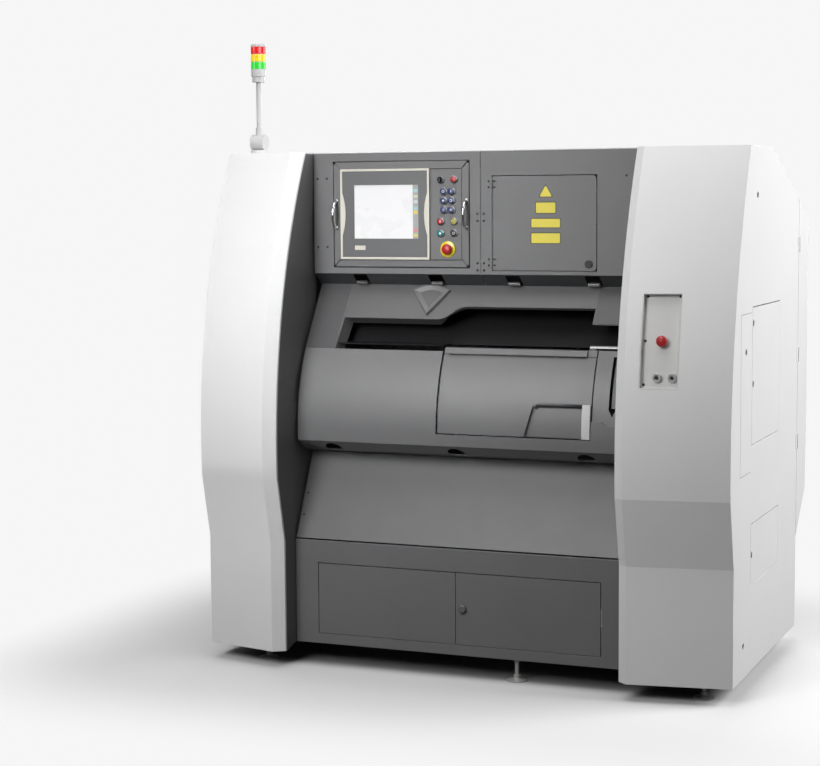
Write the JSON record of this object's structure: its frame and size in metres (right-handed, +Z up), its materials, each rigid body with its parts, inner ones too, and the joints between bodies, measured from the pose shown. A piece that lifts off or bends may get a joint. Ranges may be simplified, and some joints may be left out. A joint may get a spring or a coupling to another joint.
{
  "type": "laser powder bed printer",
  "caption": "Free-standing metal laser powder-bed printer with curved front columns, a recessed bay, swing-out console, lifting chamber door and signal tower.",
  "frame": {"origin": "on the floor, under the middle of the machine's box", "axes": "+Z up, +X to the right of someone who faces the machine, +Y to the back"},
  "size_m": [2.1086, 1.4209, 2.422],
  "materials": {
    "frame_paint": "semi-gloss powder coat",
    "zinc_steel": "bright zinc plate",
    "zinc_cast": "satin cast zinc",
    "black_steel": "black oxide",
    "hinge_steel": "satin paint",
    "white_paint": "satin paint, fine texture",
    "niche_plastic": "satin paint",
    "dark_paint": "satin powder coat",
    "grey_paint": "satin powder coat",
    "black_paint": "matt black",
    "grip_plastic": "fine-grained moulding",
    "stainless": "brushed stainless",
    "aluminium": "clear anodised",
    "laser_housing": "satin paint",
    "ivory_plastic": "smooth moulding",
    "screen_glass": "lit display behind a clear front",
    "chrome": "polished",
    "black_plastic": "smooth moulding",
    "red_plastic": "smooth moulding",
    "blue_plastic": "smooth moulding",
    "yellow_plastic": "smooth moulding",
    "teal_plastic": "smooth moulding",
    "tower_plastic": "satin moulding",
    "lamp_green": "ribbed translucent lens",
    "lamp_amber": "ribbed translucent lens",
    "lamp_red": "ribbed translucent lens"
  },
  "bodies": {
    "cabinet": {"base_frame": "frame_paint", "leveling_feet": "zinc_steel", "left_front_cover": "white_paint", "right_front_cover": "white_paint", "niche_plate": "niche_plastic", "body_panels": "white_paint", "top_cover": "white_paint", "cheek_panels": "dark_paint", "upper_fascia": "grey_paint", "hood_latches": "zinc_steel", "hood_header": "grey_paint", "hood_drum": "grey_paint", "window_tray": "black_paint", "slanted_panel": "grey_paint", "lower_fascia": "grey_paint", "panel_screws": "black_steel", "process_chamber": "stainless", "laser_optics": "laser_housing", "door_hinges": "hinge_steel", "tower_bracket": "tower_plastic"},
    "console": {"console_frame": "grey_paint", "hmi_bezel": "ivory_plastic", "hmi_screen": "screen_glass", "keypad_plate": "grey_paint", "console_handles": "chrome"},
    "chamber_door_leaf": {"chamber_door": "grey_paint", "door_handle": "grip_plastic", "door_arm": "zinc_steel"},
    "laser_door_leaf": {"laser_door": "grey_paint"},
    "laser_lock": {"laser_door_lock": "black_plastic"},
    "lower_left_leaf": {"lower_door_left": "grey_paint"},
    "lower_right_leaf": {"lower_door_right": "grey_paint"},
    "lower_knob": {"lower_door_knob": "black_steel"},
    "side_upper_leaf": {"side_door_upper": "white_paint"},
    "side_lower_leaf": {"side_door_lower": "white_paint"},
    "rear_left_leaf": {"rear_door_left": "white_paint"},
    "rear_right_leaf": {"rear_door_right": "white_paint"},
    "tower_mast": {"tower_pole": "tower_plastic", "lamp_green": "lamp_green", "lamp_amber": "lamp_amber", "lamp_red": "lamp_red"},
    "platform": {"build_platform": "stainless"},
    "recoater": {"recoater_carriage": "aluminium"},
    "roller": {"layering_roller": "stainless"},
    "selector": {"selector_switch": "black_plastic"},
    "console_stop_button": {"console_stop": "red_plastic"},
    "column_stop_button": {"column_stop": "red_plastic"},
    "column_lock_left_body": {"column_lock_left": "zinc_cast"},
    "column_lock_right_body": {"column_lock_right": "zinc_cast"},
    "red_button_top_key": {"red_button_top": "red_plastic"},
    "blue_button_1_key": {"blue_button_1": "blue_plastic"},
    "blue_button_2_key": {"blue_button_2": "blue_plastic"},
    "blue_button_3_key": {"blue_button_3": "blue_plastic"},
    "blue_button_4_key": {"blue_button_4": "blue_plastic"},
    "blue_button_5_key": {"blue_button_5": "blue_plastic"},
    "blue_button_6_key": {"blue_button_6": "blue_plastic"},
    "red_button_low_key": {"red_button_low": "red_plastic"},
    "yellow_button_key": {"yellow_button": "yellow_plastic"},
    "teal_button_key": {"teal_button": "teal_plastic"},
    "black_button_key": {"black_button": "black_plastic"}
  },
  "joints": [
    {"name": "console_swing", "type": "hinge", "parent": "cabinet", "child": "console", "pos_m": [-0.605, -0.3155, 1.747], "axis": [0, 0, -1], "range_deg": [0, 50]},
    {"name": "chamber_door_lift", "type": "hinge", "parent": "cabinet", "child": "chamber_door_leaf", "pos_m": [0.185, 0.1245, 0.92], "axis": [-1, 0, 0], "range_deg": [0, 29]},
    {"name": "laser_door_swing", "type": "hinge", "parent": "cabinet", "child": "laser_door_leaf", "pos_m": [0.0465, -0.3243, 1.712], "axis": [0, 0, -1], "range_deg": [0, 105]},
    {"name": "laser_lock_turn", "type": "hinge", "parent": "laser_door_leaf", "child": "laser_lock", "pos_m": [0.429, -0.3205, 1.561], "axis": [0, 1, 0], "range_deg": [0, 90]},
    {"name": "lower_left_swing", "type": "hinge", "parent": "cabinet", "child": "lower_left_leaf", "pos_m": [-0.593, -0.5205, 0.263], "axis": [0, 0, -1], "range_deg": [0, 100]},
    {"name": "lower_right_swing", "type": "hinge", "parent": "cabinet", "child": "lower_right_leaf", "pos_m": [0.53, -0.5205, 0.263], "axis": [0, 0, 1], "range_deg": [0, 100]},
    {"name": "lower_knob_turn", "type": "hinge", "parent": "lower_right_leaf", "child": "lower_knob", "pos_m": [-0.002, -0.5255, 0.264], "axis": [0, 1, 0], "range_deg": [0, 90]},
    {"name": "side_upper_swing", "type": "hinge", "parent": "cabinet", "child": "side_upper_leaf", "pos_m": [1.0445, 0.1495, 1.157], "axis": [0, 0, 1], "range_deg": [0, 110]},
    {"name": "side_lower_swing", "type": "hinge", "parent": "cabinet", "child": "side_lower_leaf", "pos_m": [1.0445, 0.1495, 0.502], "axis": [0, 0, 1], "range_deg": [0, 110]},
    {"name": "rear_left_swing", "type": "hinge", "parent": "cabinet", "child": "rear_left_leaf", "pos_m": [-1.0508, 0.516, 1.1], "axis": [0, 0, 1], "range_deg": [0, 100]},
    {"name": "rear_right_swing", "type": "hinge", "parent": "cabinet", "child": "rear_right_leaf", "pos_m": [1.0508, 0.516, 1.1], "axis": [0, 0, -1], "range_deg": [0, 100]},
    {"name": "tower_fold", "type": "hinge", "parent": "cabinet", "child": "tower_mast", "pos_m": [-0.95, -0.2925, 2.035], "axis": [-1, 0, 0], "range_deg": [0, 90]},
    {"name": "platform_lower", "type": "slide", "parent": "cabinet", "child": "platform", "axis": [0, 0, -1], "range_m": [0, 0.33]},
    {"name": "recoater_travel", "type": "slide", "parent": "cabinet", "child": "recoater", "axis": [1, 0, 0], "range_m": [0, 0.44]},
    {"name": "roller_spin", "type": "hinge", "parent": "recoater", "child": "roller", "pos_m": [-0.036, -0.0325, 0.9252], "axis": [0, 1, 0], "range_deg": [-1, 722]},
    {"name": "selector_turn", "type": "hinge", "parent": "console", "child": "selector", "pos_m": [-0.162, -0.3205, 1.88], "axis": [0, 1, 0], "range_deg": [-45, 45]},
    {"name": "red_button_top_press", "type": "slide", "parent": "console", "child": "red_button_top_key", "axis": [0, 1, 0], "range_m": [0, 0.004], "stiffness_N_per_m": 400},
    {"name": "blue_button_1_press", "type": "slide", "parent": "console", "child": "blue_button_1_key", "axis": [0, 1, 0], "range_m": [0, 0.004], "stiffness_N_per_m": 400},
    {"name": "blue_button_2_press", "type": "slide", "parent": "console", "child": "blue_button_2_key", "axis": [0, 1, 0], "range_m": [0, 0.004], "stiffness_N_per_m": 400},
    {"name": "blue_button_3_press", "type": "slide", "parent": "console", "child": "blue_button_3_key", "axis": [0, 1, 0], "range_m": [0, 0.004], "stiffness_N_per_m": 400},
    {"name": "blue_button_4_press", "type": "slide", "parent": "console", "child": "blue_button_4_key", "axis": [0, 1, 0], "range_m": [0, 0.004], "stiffness_N_per_m": 400},
    {"name": "blue_button_5_press", "type": "slide", "parent": "console", "child": "blue_button_5_key", "axis": [0, 1, 0], "range_m": [0, 0.004], "stiffness_N_per_m": 400},
    {"name": "blue_button_6_press", "type": "slide", "parent": "console", "child": "blue_button_6_key", "axis": [0, 1, 0], "range_m": [0, 0.004], "stiffness_N_per_m": 400},
    {"name": "red_button_low_press", "type": "slide", "parent": "console", "child": "red_button_low_key", "axis": [0, 1, 0], "range_m": [0, 0.004], "stiffness_N_per_m": 400},
    {"name": "yellow_button_press", "type": "slide", "parent": "console", "child": "yellow_button_key", "axis": [0, 1, 0], "range_m": [0, 0.004], "stiffness_N_per_m": 400},
    {"name": "teal_button_press", "type": "slide", "parent": "console", "child": "teal_button_key", "axis": [0, 1, 0], "range_m": [0, 0.004], "stiffness_N_per_m": 400},
    {"name": "black_button_press", "type": "slide", "parent": "console", "child": "black_button_key", "axis": [0, 1, 0], "range_m": [0, 0.004], "stiffness_N_per_m": 400},
    {"name": "console_stop_press", "type": "slide", "parent": "console", "child": "console_stop_button", "axis": [0, 1, 0], "range_m": [0, 0.005], "stiffness_N_per_m": 800},
    {"name": "column_stop_press", "type": "slide", "parent": "cabinet", "child": "column_stop_button", "axis": [0, 1, 0], "range_m": [0, 0.005], "stiffness_N_per_m": 800},
    {"name": "column_lock_left_turn", "type": "hinge", "parent": "cabinet", "child": "column_lock_left_body", "pos_m": [0.782, -0.64596, 1.175], "axis": [0, 1, 0], "range_deg": [0, 90]},
    {"name": "column_lock_right_turn", "type": "hinge", "parent": "cabinet", "child": "column_lock_right_body", "pos_m": [0.835, -0.6375, 1.175], "axis": [0, 1, 0], "range_deg": [0, 90]}
  ],
  "couplings": [
    {"joint": "roller_spin", "follows": "recoater_travel", "rad_per_m": 28.571}
  ]
}
